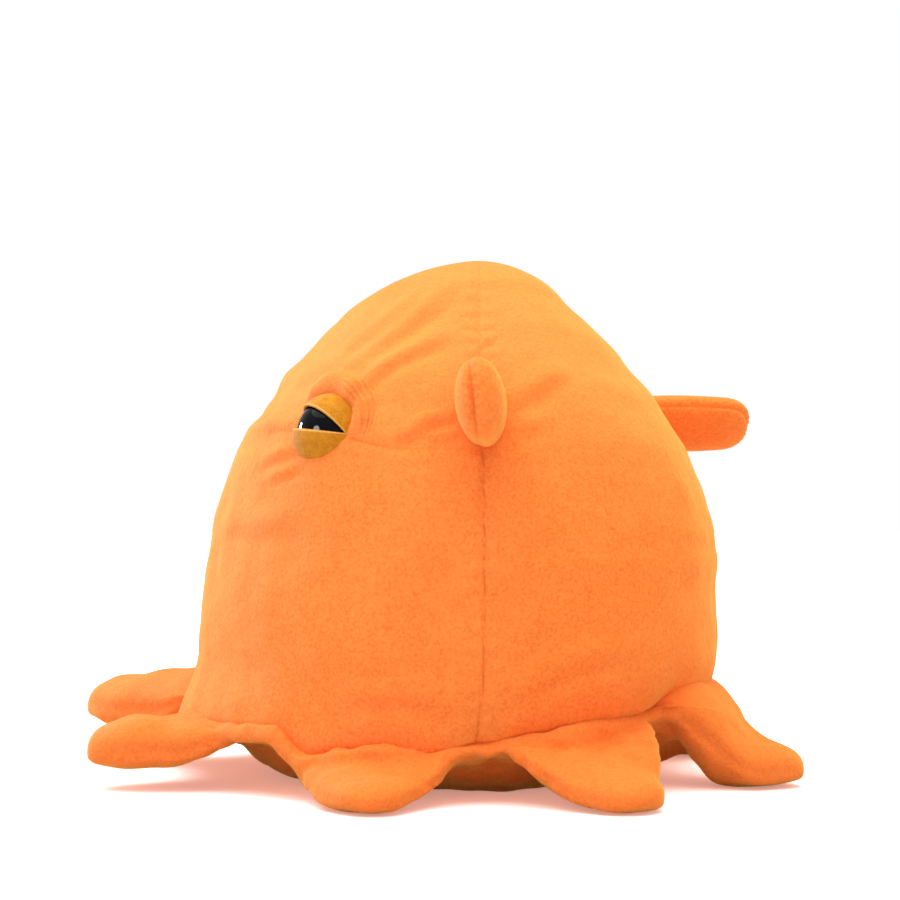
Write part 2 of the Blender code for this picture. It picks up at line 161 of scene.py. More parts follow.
def store(piece, name, values):
    """A number for each vertex, which a material can read by name."""
    layer = piece.data.attributes.new(name, "FLOAT", "POINT")
    layer.data.foreach_set("value", np.asarray(values, np.float32))


def melt(piece, voxel, smoothings):
    """Replace a piece's overlapping shapes by one skin: a voxel remesh, then a few smoothings."""
    remesh = piece.modifiers.new("remesh", "REMESH")
    remesh.mode = "VOXEL"
    remesh.voxel_size = voxel
    smooth = piece.modifiers.new("smooth", "SMOOTH")
    smooth.factor = 0.5
    smooth.iterations = smoothings
    graph = bpy.context.evaluated_depsgraph_get()
    mesh = bpy.data.meshes.new_from_object(piece.evaluated_get(graph))
    piece.modifiers.clear()
    piece.data = mesh
    mesh.shade_smooth()


print("mesh helpers ready")

# %% [markdown]
# The mantle is a dome of revolution whose radius is a blunted ellipse, and whose axis leans back near
# the peak. It could be sculpted, but the eyes, fins and seams have to find their places on it. So it
# is a formula of the azimuth (degrees round from the face, positive to the toy's left) and the height.

# %% Mantle formulas
MANTLE_HEIGHT = float(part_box("mantle")[1][2])
MANTLE_RADIUS = 0.1030
WIDEST_HEIGHT = 0.047
DOME_POWER = 0.54
PEAK_LEAN = 0.009
EVEN_LEAN = 0.35
PEAK_LEAN_POWER = 10
HEM_RADIUS = 0.0985
HEM_HEIGHT = 0.0200
HEM_TILT = 0.0035
HEM_TILT_AZIMUTH = 200.0
HEM_SHIFT = 0.0100
HEM_SHIFT_AZIMUTH = 27.0
HEM_SHIFT_POWER = 1.6
MANTLE_FLOOR = 0.0235
SIDE_SEAM_AZIMUTH = 122.0


def outward(azimuth):
    """(sin, -cos, 0) of the azimuth: the direction away from the toy's axis."""
    turn = np.radians(azimuth)
    return np.stack([np.sin(turn), -np.cos(turn), np.zeros_like(turn)], axis=-1)


def dome_share(height):
    """0 up to the widest ring, 1 at the peak."""
    return np.clip((height - WIDEST_HEIGHT) / (MANTLE_HEIGHT - WIDEST_HEIGHT), 0.0, 1.0)


def hem_height(azimuth):
    """A mean height with one wave round the toy, highest at the back."""
    return HEM_HEIGHT + HEM_TILT * np.cos(np.radians(azimuth - HEM_TILT_AZIMUTH))


def mantle_radius(azimuth, height):
    """(1 - share squared) to a power above the widest ring; a quarter ellipse from it to the hem."""
    above = MANTLE_RADIUS * (1.0 - dome_share(height) ** 2) ** DOME_POWER
    drop = np.clip((WIDEST_HEIGHT - height) / (WIDEST_HEIGHT - hem_height(azimuth)), 0.0, 1.0)
    below = HEM_RADIUS + (MANTLE_RADIUS - HEM_RADIUS) * np.sqrt(1.0 - drop**2)
    return np.where(height >= WIDEST_HEIGHT, above, below)


def centre_shift(height):
    """Level place of the dome's own axis, which leans back at the peak and swings forward at the hem."""
    share = dome_share(height)
    drop = np.clip((WIDEST_HEIGHT - height) / (WIDEST_HEIGHT - HEM_HEIGHT), 0.0, None)
    place = (HEM_SHIFT * drop**HEM_SHIFT_POWER)[..., None] * outward(HEM_SHIFT_AZIMUTH)
    place[..., 1] += PEAK_LEAN * (EVEN_LEAN * share + (1.0 - EVEN_LEAN) * share**PEAK_LEAN_POWER)
    return place


print("mantle height", round(MANTLE_HEIGHT, 4), "widest radius", MANTLE_RADIUS)

# %% [markdown]
# With the radius and the axis known, a place on the cloth follows from its azimuth and height. The
# closed bottom is a shallow bowl, and the normal at a place says which way an eye there looks.

# %% Places on the mantle
NORMAL_STEP_METRES = 0.002
NORMAL_STEP_DEGREES = 1.0


def mantle_point(azimuth, height):
    """The radius along the azimuth, from the dome's own axis at that height."""
    azimuth, height = np.broadcast_arrays(np.asarray(azimuth, float), np.asarray(height, float))
    place = outward(azimuth) * mantle_radius(azimuth, height)[..., None] + centre_shift(height)
    place[..., 2] += height
    return place


def under_mantle(azimuth, share):
    """Places on the closed bottom, at this share of the way from the axis to the hem."""
    hem = mantle_point(azimuth, hem_height(azimuth))
    place = hem * share[..., None]
    place[..., 2] = MANTLE_FLOOR + (hem[..., 2] - MANTLE_FLOOR) * share**2
    return place


def mantle_normal(azimuth, height):
    """The cross product of a short step round the dome and a short step up it."""
    rise, turn = NORMAL_STEP_METRES, NORMAL_STEP_DEGREES
    up = mantle_point(azimuth, height + rise) - mantle_point(azimuth, height - rise)
    along = mantle_point(azimuth + turn, height) - mantle_point(azimuth - turn, height)
    normal = np.cross(along, up)
    return normal / np.linalg.norm(normal)


print("side seam at the widest ring", np.round(mantle_point(SIDE_SEAM_AZIMUTH, WIDEST_HEIGHT), 4))

# %% [markdown]
# The camera stands where the photograph's stood: level with the middle of the toy, 0.8 m away, on its
# left and a little behind. A long lens gives the mild perspective that the arms show.

# %% Camera
CAMERA_AZIMUTH = 117.0
CAMERA_DISTANCE = 0.80
CAMERA_HEIGHT = 0.097
LENS_MM = 80.0
SENSOR_MM = 36.0
NEAREST_SEEN = 0.01
AIM_LEFT = 0.0032
AIM_HEIGHT = 0.1278

picture_right = np.array([math.cos(math.radians(CAMERA_AZIMUTH)), math.sin(math.radians(CAMERA_AZIMUTH)), 0])
towards_camera = outward(CAMERA_AZIMUTH)
eye_point = towards_camera * CAMERA_DISTANCE + (0, 0, CAMERA_HEIGHT)
aim_point = -picture_right * AIM_LEFT + (0, 0, AIM_HEIGHT)


def looking(from_point, to_point):
    """Euler angles that turn local -Z from one point towards another, with local Y up."""
    back = np.subtract(from_point, to_point)
    back /= np.linalg.norm(back)
    return (math.acos(back[2]), 0.0, math.atan2(back[0], -back[1]))


camera = placed("camera", bpy.data.cameras.new("camera"))
camera.location = eye_point
camera.rotation_euler = looking(eye_point, aim_point)
camera.data.lens = LENS_MM
camera.data.sensor_width = SENSOR_MM
camera.data.clip_start = NEAREST_SEEN
bpy.context.scene.camera = camera
print("camera at", np.round(eye_point, 3))

# %% [markdown]
# Maths between shader nodes is easier to read as Python. A small class wraps a socket, and each
# operator on it adds one Math node. Colours go through Mix nodes, because a Math node turns them grey.

# %% Shader maths
class Value:
    """A number that comes out of a shader node, for Python arithmetic."""

    def __init__(self, finish, socket):
        self.finish = finish
        self.socket = socket

    def math(self, operation, *others):
        """One Math node on this value and the others."""
        node = self.finish.node("ShaderNodeMath", {"operation": operation}, dict(enumerate((self, *others))))
        return self.finish.value(node)

    def __add__(self, other):
        return self.math("ADD", other)

    __radd__ = __add__

    def __mul__(self, other):
        return self.math("MULTIPLY", other)

    __rmul__ = __mul__

    def __sub__(self, other):
        return self.math("SUBTRACT", other)

    def __rsub__(self, other):
        return (self * -1.0) + other

    def between(self, low, high):
        """0 at low, 1 at high, smooth between them."""
        settings = {"interpolation_type": "SMOOTHSTEP"}
        inputs = {"Value": self, "From Min": low, "From Max": high}
        node = self.finish.node("ShaderNodeMapRange", settings, inputs)
        return self.finish.value(node)


class Finish:
    """The nodes of a material or of the world. A material starts with a Principled shader."""

    def __init__(self, name, owner=None, **uniform):
        self.material = owner or bpy.data.materials.new(name)
        self.material.use_nodes = True
        self.tree = self.material.node_tree
        self.shader = self.tree.nodes.get("Principled BSDF")
        for key, value in uniform.items():
            self.shader.inputs[key.replace("_", " ")].default_value = value

    def node(self, kind, settings, inputs):
        """One node of any kind: its settings first, then a value or a link for each socket."""
        made = self.tree.nodes.new(kind)
        for key, value in settings.items():
            setattr(made, key, value)
        for key, value in inputs.items():
            self.plug(made.inputs[key], value)
        return made

    def plug(self, socket, value):
        """A link into a socket, or a plain value set on it."""
        if isinstance(value, Value):
            self.tree.links.new(value.socket, socket)
        else:
            socket.default_value = value

    def value(self, node, output=0):
        return Value(self, node.outputs[output])

    def places(self):
        return self.value(self.node("ShaderNodeTexCoord", {}, {}), "Object")

    def attribute(self, name):
        return self.value(self.node("ShaderNodeAttribute", {"attribute_name": name}, {}), "Fac")

    def noise(self, scale, detail=2.0, roughness=0.5):
        """Noise in about this many waves a metre."""
        inputs = {"Vector": self.places(), "Scale": scale, "Detail": detail, "Roughness": roughness}
        return self.value(self.node("ShaderNodeTexNoise", {}, inputs), 0)

    def mixed(self, share, first, second):
        """A colour between two others."""
        settings = {"data_type": "RGBA", "blend_type": "MIX"}
        node = self.node("ShaderNodeMix", settings, {0: share, 6: first, 7: second})
        return self.value(node, 2)

    def rays(self, first, *others):
        """1 for a ray of any of these kinds, 0 for the rest, by the outputs of a Light Path node."""
        path = self.node("ShaderNodeLightPath", {}, {})
        share = self.value(path, first)
        for output in others:
            share = share.math("MAXIMUM", self.value(path, output))
        return share

    def bumped(self, height, distance, strength):
        inputs = {"Height": height, "Distance": distance, "Strength": strength}
        bump = self.node("ShaderNodeBump", {}, inputs)
        self.plug(self.shader.inputs["Normal"], self.value(bump))

    def coloured(self, colour):
        self.plug(self.shader.inputs["Base Color"], colour)


print("shader helpers ready")

# %% [markdown]
# The cloth is a short-pile plush. Its pile makes a fine speckle about a millimetre across, patches
# where the nap lies another way, and a soft pale sheen at grazing angles. Hair strands could make it,
# but they can't be baked into a picture for export. So it is noise in the colour and in the bump, and
# sewn seams come in as attributes.

# %% Plush cloth
ORANGE = (0.97, 0.232, 0.040, 1.0)
ORANGE_PALE = (0.98, 0.330, 0.074, 1.0)
ORANGE_DEEP = (0.86, 0.160, 0.022, 1.0)
SEAM_SHADE = (0.70, 0.115, 0.012, 1.0)
SHEEN = (1.0, 0.64, 0.13, 1.0)
PILE_PER_METRE = 850.0
TUFT_PER_METRE = PILE_PER_METRE * 0.32
NAP_PER_METRE = 38.0
SEAM_WANDER_PER_METRE = 260.0
SEAM_WANDER = 0.0004
STITCH_PITCH = 0.0015
THREAD_EDGE = (0.00015, 0.00055)
GROOVE_EDGE = (0.0002, 0.0014)
PILE_HEIGHT = 0.0006


def plush(name, seams=(), wrinkled=False, depth=0.0):
    """Orange pile cloth.

    Each seam is an attribute's name and its stitches' strength. The attribute is the distance from the
    seam, and a second one with _along is the way along it. On wrinkled cloth the attribute eye_phase
    makes fine gathers where eye_wrinkle says how strong they are, and paints shade into their troughs.
    Depth takes the colour that far towards its deeper tone, as painted shade. A stored share that grows
    over the top of the mantle takes it towards its paler one, as painted light there.
    """
    cloth = Finish(name, Roughness=0.92, Sheen_Weight=0.78, Sheen_Roughness=0.40, Specular_IOR_Level=0.12,
                   Sheen_Tint=SHEEN)
    pile = cloth.noise(PILE_PER_METRE, 3.0, 0.65)
    tuft = cloth.noise(TUFT_PER_METRE, 2.0, 0.55)
    nap = cloth.noise(NAP_PER_METRE, 3.0, 0.6)
    speckle = (pile * 0.8 + tuft * 0.2).between(0.32, 0.60)
    tone = cloth.mixed(speckle, ORANGE_DEEP, ORANGE)
    tone = cloth.mixed(nap.between(0.40, 0.72) * 0.15, tone, ORANGE_PALE)
    # painted light: the top of the mantle is paler, for the key light falling on it
    tone = cloth.mixed(cloth.attribute("painted_top_light") * 0.4, tone, ORANGE_PALE)
    # painted shade: a darker copy of the cloth, as far as depth says
    tone = cloth.mixed(depth, tone, ORANGE_DEEP)
    height = pile * 0.8 + tuft * 0.8
    for seam, strength in seams:
        across = cloth.attribute(seam).math("ABSOLUTE")
        wander = (cloth.noise(SEAM_WANDER_PER_METRE, 1.0) - 0.5) * SEAM_WANDER
        across = (across + wander).math("MAXIMUM", 0.0)
        wave = (cloth.attribute(seam + "_along") * (2.0 * math.pi / STITCH_PITCH)).math("SINE")
        thread = (1.0 - across.between(*THREAD_EDGE)) * (wave * 0.15 + 0.85)
        groove = 1.0 - across.between(*GROOVE_EDGE)
        tone = cloth.mixed(groove * 0.3 * strength, tone, ORANGE_DEEP)
        tone = cloth.mixed(thread * 0.8 * strength, tone, SEAM_SHADE)
        height = height - groove * 0.5 * strength - thread * 0.2 * strength
    if wrinkled:
        gather = cloth.attribute("eye_phase").math("SINE") * cloth.attribute("eye_wrinkle")
        height = height + gather * 0.7
        # painted shade: the troughs of the gathers are darkened
        tone = cloth.mixed((gather * -1.0).between(0.3, 1.0) * 0.25, tone, ORANGE_DEEP)
    cloth.coloured(tone)
    cloth.bumped(height, PILE_HEIGHT, 0.85)
    return cloth.material


print("pile waves a metre:", PILE_PER_METRE, "stitch pitch:", STITCH_PITCH)

# %% [markdown]
# The lids are cut from a closer mustard fleece with hardly any sheen. Where the cloth is cut, its
# paler inside shows as a thin line, so the material needs to know how far each place is from that edge.

# %% Lid cloth
MUSTARD = (0.64, 0.262, 0.012, 1.0)
MUSTARD_DEEP = (0.51, 0.176, 0.006, 1.0)
MUSTARD_CUT = (0.88, 0.52, 0.16, 1.0)
LID_SHEEN = (1.0, 0.8, 0.5, 1.0)
FIBRE_PER_METRE = 1500.0
LID_TUFT_PER_METRE = 420.0
CUT_EDGE = (0.0001, 0.0004)
LID_PILE_HEIGHT = 0.0005


def lid_cloth(name):
    """Mustard fleece, paler where its cut edge shows."""
    cloth = Finish(name, Roughness=0.88, Sheen_Weight=0.08, Sheen_Roughness=0.5, Specular_IOR_Level=0.1,
                   Sheen_Tint=LID_SHEEN)
    fibre = cloth.noise(FIBRE_PER_METRE, 2.0, 0.6)
    tuft = cloth.noise(LID_TUFT_PER_METRE, 2.0, 0.5)
    speckle = (fibre * 0.6 + tuft * 0.4).between(0.35, 0.65)
    cut = 1.0 - cloth.attribute("from_edge").between(*CUT_EDGE)
    tone = cloth.mixed(speckle, MUSTARD_DEEP, MUSTARD)
    cloth.coloured(cloth.mixed(cut * 0.6, tone, MUSTARD_CUT))
    cloth.bumped(fibre * 0.5 + tuft, LID_PILE_HEIGHT, 0.7)
    return cloth.material


print("lid cloth ready")

# %% [markdown]
# Cloth over fibre never stays smooth: it dents and swells in slow waves, and it folds where it is
# pulled. A cloth simulation could find such folds, but not in the places where this toy has them. So
# waves are sums of sines in fixed random directions, and each fold follows a line drawn on the cloth.

# %% Waves and folds
FOLD_REACH = 3
FOLD_END_POWER = 0.7
ROLL_HEIGHT = 0.75
ROLL_AWAY = 1.7
ROLL_WIDTH = 1.3


def ripples(points, wavelength, seed, count=14):
    """The sum of sines of each point's distance along random directions, scaled to about -1 to 1."""
    draw = np.random.default_rng(seed)
    ways = draw.normal(size=(count, 3))
    ways /= np.linalg.norm(ways, axis=1)[:, None]
    turns = 2.0 * math.pi / (wavelength * draw.uniform(0.7, 1.5, count))
    phases = draw.uniform(0.0, 2.0 * math.pi, count)
    return np.sin(points @ ways.T * turns + phases).sum(axis=1) / math.sqrt(2.0 * count)


def line_distance(across, height, route):
    """Signed distance to a bent line on the unrolled cloth, and the share of the way along it.

    Each straight stretch gives the distance to its nearest point; the smallest of them counts. The
    sign says which side of the stretch the place lies on.
    """
    route = np.asarray(route, float)
    steps = np.linalg.norm(np.diff(route, axis=0), axis=1)
    travelled = np.concatenate([[0.0], np.cumsum(steps)])
    best = np.full(across.shape, np.inf)
    signed = np.zeros_like(best)
    share = np.zeros_like(best)
    for start, end, step, before in zip(route[:-1], route[1:], steps, travelled):
        way = (end - start) / step
        u, v = across - start[0], height - start[1]
        along = np.clip(u * way[0] + v * way[1], 0.0, step)
        du, dv = u - way[0] * along, v - way[1] * along
        far = np.hypot(du, dv)
        nearer = far < best
        best = np.where(nearer, far, best)
        signed = np.where(nearer, far * np.sign(way[0] * v - way[1] * u), signed)
        share = np.where(nearer, (before + along) / travelled[-1], share)
    return signed, share


def fold(across, height, route, depth, width):
    """A soft fold: a groove on the line with a lower roll on its upper side, fading at both ends."""
    distance, share = line_distance(across, height, route)
    fade = np.sin(math.pi * np.clip(share, 0.02, 0.98)) ** FOLD_END_POWER
    ends = np.exp(-np.clip(np.abs(distance) - FOLD_REACH * width, 0, None) / width)
    roll = ROLL_HEIGHT * bell(distance - ROLL_AWAY * width, ROLL_WIDTH * width)
    return depth * fade * ends * (roll - bell(distance, width))


print("wave and fold helpers ready")

# %% [markdown]
# Both eyes share one local frame: towards the outer corner, up over the ball, and out of the eye. The
# ball, the lids and the gathered roll over them are made in it once and serve both sides. The right
# eye mirrors the left, so its faces are turned the right way round again later.

# %% Eye frame
EYE_AZIMUTH = 80.0
EYE_HEIGHT = 0.1335
EYE_BALL_RADIUS = 0.0122
EYE_SINK = 0.0040
EYE_CORNER_TILT = 11.0


def eye_frame(side):
    """(centre, outer, up, out) of one eye: the mantle's normal, and its level direction tilted."""
    out = mantle_normal(side * EYE_AZIMUTH, EYE_HEIGHT)
    level = np.cross((0.0, 0.0, 1.0), out) * side
    level /= np.linalg.norm(level)
    above = np.cross(out, level) * side
    tilt = math.radians(-EYE_CORNER_TILT)
    outer = level * math.cos(tilt) + above * math.sin(tilt)
    up = above * math.cos(tilt) - level * math.sin(tilt)
    centre = mantle_point(side * EYE_AZIMUTH, EYE_HEIGHT) - out * EYE_SINK
    return centre, outer, up, out


def in_eye(side, grid):
    """Local (outer, up, out) coordinates as places in the toy's frame."""
    centre, *axes = eye_frame(side)
    return centre + grid @ np.array(axes)


print("left eye centre", np.round(eye_frame(1)[0], 4))

# %% [markdown]
# The mantle is made in three moves. Here the plain dome and the two gathered rolls over the eyes are
# joined by a voxel remesh, then smoothed so that the rolls grow out of the cloth. A boolean would
# leave a hard crease there instead.

# %% Mantle surface
MANTLE_VOXEL = 0.0015
MANTLE_SMOOTHINGS = 3
PEAK_SWEEP = 89.3
BROW_ARC_RADIUS = 0.0166
BROW_THICKNESS = 0.0088
BROW_PROUD = 0.0030
BROW_STRETCH = 1.06
BROW_START = 146.0
BROW_END = 4.0
BROW_END_THINNESS = 0.18
BROW_THICK_POWER = 0.65


def dome_grid(columns=360):
    """Rows from the middle of the closed bottom out to the hem, then up to the peak."""
    azimuth = np.arange(columns) * 360.0 / columns
    shares = np.linspace(0.1, 0.97, 12)
    under = np.stack([under_mantle(azimuth, np.full(columns, share)) for share in shares])
    rise = np.linspace(0.0, 1.0, 16)[:-1, None]
    side = mantle_point(azimuth, hem_height(azimuth) + rise * (WIDEST_HEIGHT - hem_height(azimuth)))
    sweep = np.radians(np.linspace(0, PEAK_SWEEP, 90))
    swept = WIDEST_HEIGHT + (MANTLE_HEIGHT - WIDEST_HEIGHT) * np.sin(sweep)
    return np.concatenate([under, side, mantle_point(azimuth, swept[:, None])])


def brow_grid(side, rows=60, columns=28):
    """A roll bent round the eye, thin at both ends."""
    share = np.linspace(0.0, 1.0, rows)[:, None]
    turn = np.radians(BROW_START + (BROW_END - BROW_START) * share)
    fullness = BROW_END_THINNESS + (1.0 - BROW_END_THINNESS) * np.sin(math.pi * share**BROW_THICK_POWER)
    half = BROW_THICKNESS / 2 * fullness
    radius = BROW_ARC_RADIUS + half * np.cos(around(columns))
    out = BROW_PROUD + half * (0.3 + np.sin(around(columns)))
    grid = np.stack([radius * np.cos(turn), radius * np.sin(turn) * BROW_STRETCH, out + 0 * turn], axis=-1)
    return in_eye(side, grid)


grids = [dome_grid(), brow_grid(1), brow_grid(-1)]
mantle = new_piece("mantle_plush", joined([facing_out(closed_grid(grid)) for grid in grids]))
melt(mantle, MANTLE_VOXEL, MANTLE_SMOOTHINGS)
print("mantle vertices", len(mantle.data.vertices))

# %% [markdown]
# The second move bends the soft hem. The real one rests on the webs and on the arms' roots, so it
# rises and dips by a few millimetres on its way round. A few knots in a table are easier to match to
# it than a row of sculpted dents. The move fades out above the hem and towards the middle.

# %% Sagging hem
SAG = ((-180, 0.0030), (-165, 0.0), (-60, 0.0), (20, 0.004), (54, 0.006), (83, 0.006), (92, -0.0040),
       (98, -0.0018), (106, -0.0006), (116, -0.0035), (128, -0.0004), (137, 0.0015), (152, 0.0040),
       (164, 0.0040), (172, 0.0065), (180, 0.0030))
SAG_TOP = 0.060
SAG_POWER = 4


def azimuth_of(points):
    """Degrees round the dome's own axis, from -180 to 180."""
    level = points - centre_shift(points[:, 2])
    return np.degrees(np.arctan2(level[:, 0], -level[:, 1]))


def eased(value, knots):
    """The knots' second number at this value of their first, with a smooth S from each to the next."""
    places, numbers = np.array(knots).T
    after = np.clip(np.searchsorted(places, value, side="right"), 1, len(places) - 1)
    way = smooth_step(value, places[after - 1], places[after])
    return numbers[after - 1] + (numbers[after] - numbers[after - 1]) * way


points = read_vectors(mantle.data.vertices, "co")
azimuth = azimuth_of(points)
height = points[:, 2].copy()
level = points - centre_shift(height)
radius = np.hypot(level[:, 0], level[:, 1])
hem_share = np.clip(radius / HEM_RADIUS, 0.0, 1.0) ** SAG_POWER
points[:, 2] += eased(azimuth, SAG) * hem_share * (1.0 - smooth_step(height, hem_height(azimuth), SAG_TOP))
move_points(mantle, points)
print("hem rises by up to", max(rise for turn, rise in SAG) * 1000, "mm")

# %% [markdown]
# The third move needs to know where the cloth is folded. These tables hold the lines that show on the
# real toy. They are drawn on the cloth as if it were unrolled flat, by azimuth and height, and both
# sides of the toy use the same ones.

# %% Where the folds lie
CLOTH_PER_DEGREE = math.radians(1.0) * 0.085
EYE_SEAM = ((61.0, 0.1318), (73.0, 0.1315), (87.6, 0.1294), (96.2, 0.1262), (101.3, 0.1247), (110.3, 0.1249),
            (122.0, 0.1245))
# height and how far the stuffing pushes the mantle out there: on its front side, and on its back side
SWELL_FRONT = ((0.050, 0.0), (0.085, 0.0), (0.105, 0.0010), (0.135, 0.0024), (0.143, 0.0004),
               (0.150, -0.0008), (0.157, 0.0), (0.165, -0.0016), (0.185, -0.0012), (0.203, 0.0))
SWELL_BACK = ((0.050, 0.0), (0.070, 0.0), (0.087, 0.0028), (0.096, 0.0036), (0.125, 0.0018), (0.145, 0.0),
              (0.164, -0.0032), (0.183, -0.0046), (0.198, -0.0010), (0.203, 0.0))
# each fold: its route as (azimuth, height), its depth and its width
FOLDS = (
    (((87.0, 0.136), (89.1, 0.1446), (93.0, 0.1512), (98.0, 0.1564), (104.7, 0.1616), (113.5, 0.166)),
     0.0011, 0.0026),
    (((82.5, 0.1520), (87.1, 0.1608), (93.1, 0.1676), (100.4, 0.1742), (111.5, 0.1800)), 0.0010, 0.0040),
    (((74.5, 0.1577), (78.6, 0.1648), (86.6, 0.1723), (96.0, 0.1802)), 0.0008, 0.0045),
    (((94.0, 0.1691), (102.2, 0.1778), (114.5, 0.1836)), 0.0007, 0.0045),
    (((103.0, 0.1272), (109.2, 0.1322), (116.5, 0.1355)), 0.0012, 0.0022),
    (((99.0, 0.1260), (108.0, 0.1280), (116.5, 0.1278)), 0.0008, 0.0018),
    (((126.5, 0.1325), (134.5, 0.1408), (142.8, 0.1475), (153.0, 0.1538)), 0.0012, 0.0034),
    (((125.0, 0.1238), (130.8, 0.1286), (139.0, 0.1312)), 0.0007, 0.0028),
    (((119.5, 0.1600), (123.9, 0.1643), (129.5, 0.1684)), 0.0004, 0.0012),
    (((62.0, 0.1175), (70.6, 0.1208), (77.5, 0.1232)), 0.0008, 0.0020),
    (((67.0, 0.1115), (74.2, 0.1140), (79.5, 0.1180)), 0.0007, 0.0018),
    (((38.0, 0.1308), (58.6, 0.1304), (70.0, 0.1276)), 0.0011, 0.0030),
    (((52.0, 0.0935), (66.0, 0.0925), (84.0, 0.0935)), 0.0008, 0.0040),
    (((95.0, 0.033), (108.0, 0.035), (120.0, 0.030)), 0.0008, 0.0035),
    (((128.0, 0.032), (142.0, 0.044), (158.0, 0.047)), 0.0009, 0.0040),
)


def unroll(route):
    """A route of (azimuth, height) as distances on the cloth near the eyes' height."""
    return [(turn * CLOTH_PER_DEGREE, rise) for turn, rise in route]


print(len(FOLDS), "folds on each side")

# %% [markdown]
# Now every vertex moves along its normal by the sum of the slow waves, the folds, the seams' grooves
# with their puckers, the pull where each fin is sewn in, and the swell of the stuffing. Done before
# the remesh, the narrow grooves would be lost between its voxels.

# %% Mantle seams and folds
FOLD_STRENGTH = 1.35
CLOTH_EDGE = 0.9
CLOTH_EDGE_WIDTH = 0.004
SEAM_SWING = 0.8
SEAM_WIDTH = 0.0014
SIDE_SEAM_DEPTH = 0.0007
EYE_SEAM_DEPTH = 0.0006
PUCKER_HEIGHT = 0.00025
PUCKER_PITCH = 0.0062
PUCKER_AWAY = 0.003
FIN_CENTRE_HEIGHT = 0.1405
FIN_PULL = 0.0022
FIN_PULL_WIDTH = 0.010
FIN_PULL_HEIGHT = 0.016

normals = read_vectors(mantle.data.vertex_normals, "vector")
on_side = np.clip((radius - CLOTH_EDGE * mantle_radius(azimuth, height)) / CLOTH_EDGE_WIDTH, 0.0, 1.0)
hem_swing = centre_shift(height) - centre_shift(np.maximum(height, WIDEST_HEIGHT))
seam_turn = azimuth_of(points + SEAM_SWING * hem_swing)
seam_across = np.radians(np.abs(seam_turn) - SIDE_SEAM_AZIMUTH) * radius
unrolled = np.abs(azimuth)
moved = 0.0010 * ripples(points, 0.055, seed=3) + 0.00035 * ripples(points, 0.018, seed=5)
for route, depth, width in FOLDS:
    moved += FOLD_STRENGTH * fold(unrolled * CLOTH_PER_DEGREE, height, unroll(route), depth, width)
eye_across, eye_share = line_distance(unrolled * CLOTH_PER_DEGREE, height, unroll(EYE_SEAM))
in_front = 1.0 - smooth_step(unrolled, SIDE_SEAM_AZIMUTH - 1.0, SIDE_SEAM_AZIMUTH)
pucker = PUCKER_HEIGHT * np.sin(height * 2 * math.pi / PUCKER_PITCH + 3 * np.sin(height * 40.0))
moved -= SIDE_SEAM_DEPTH * bell(seam_across, SEAM_WIDTH)
moved += pucker * np.exp(-((np.abs(seam_across) - PUCKER_AWAY) / PUCKER_AWAY) ** 2)
moved -= EYE_SEAM_DEPTH * bell(eye_across, SEAM_WIDTH) * in_front
moved -= FIN_PULL * bell(seam_across, FIN_PULL_WIDTH) * bell(height - FIN_CENTRE_HEIGHT, FIN_PULL_HEIGHT)
facing = np.cos(np.radians(azimuth - HEM_SHIFT_AZIMUTH))
moved += eased(height, SWELL_FRONT) * np.clip(facing, 0.0, 1.0)
moved += eased(height, SWELL_BACK) * np.clip(-facing, 0.0, 1.0)
move_points(mantle, points + normals * (moved * on_side)[:, None])
print("mantle moved by", round(float(np.abs(moved).max()) * 1000, 1), "mm at most")

# %% [markdown]
# The mantle's cloth still has to learn where its stitches run. Each seam's distance and way along it
# are stored on the vertices, and the seams sink out of sight where they close. Round each eye the
# cloth is gathered in fine waves, too narrow for this mesh, so they go to the material as a phase, and
# it paints shade into their troughs. A share that grows up the top is stored too, for painted light there.

# %% Mantle cloth
WRINKLE_PITCH = 0.0017
WRINKLE_LEAN = 1.6
WRINKLE_INNER = (0.0150, 0.0165)
WRINKLE_OUTER = (0.0205, 0.0240)
WRINKLE_START = (-5.0, 20.0)
WRINKLE_END = (50.0, 90.0)
WRINKLE_BEHIND = -0.004
PAINTED_TOP_LIGHT = (0.105, 0.175)
SEAM_SINK = 0.0005
SIDE_SEAM_CLOSES = (0.150, 0.162)
EYE_SEAM_CLOSES = (96.0, 114.0)
EYE_SEAM_LENGTH = 0.085
FAR_FROM_SEAM = 1.0


def wrinkles(points, side):
    """(phase, strength) of the fine gathers round the eye: waves of the distance from its middle."""
    centre, outer, up, out = eye_frame(side)
    place = points - centre
    x, y = place @ outer, place @ up
    away = np.hypot(x, y)
    turn = np.degrees(np.arctan2(y, x))
    window = smooth_step(away, *WRINKLE_INNER) * (1.0 - smooth_step(away, *WRINKLE_OUTER))
    window = window * smooth_step(turn, *WRINKLE_START) * (1.0 - smooth_step(turn, *WRINKLE_END))
    phase = 2.0 * math.pi * away / WRINKLE_PITCH + np.radians(turn) * WRINKLE_LEAN
    return phase, window * (place @ out > WRINKLE_BEHIND)


store(mantle, "side_seam", np.abs(seam_across) + SEAM_SINK * smooth_step(height, *SIDE_SEAM_CLOSES))
store(mantle, "side_seam_along", height)
from_eye_seam = np.abs(eye_across) + SEAM_SINK * smooth_step(unrolled, *EYE_SEAM_CLOSES)
store(mantle, "eye_seam", np.where(unrolled < SIDE_SEAM_AZIMUTH, from_eye_seam, FAR_FROM_SEAM))
store(mantle, "eye_seam_along", eye_share * EYE_SEAM_LENGTH)
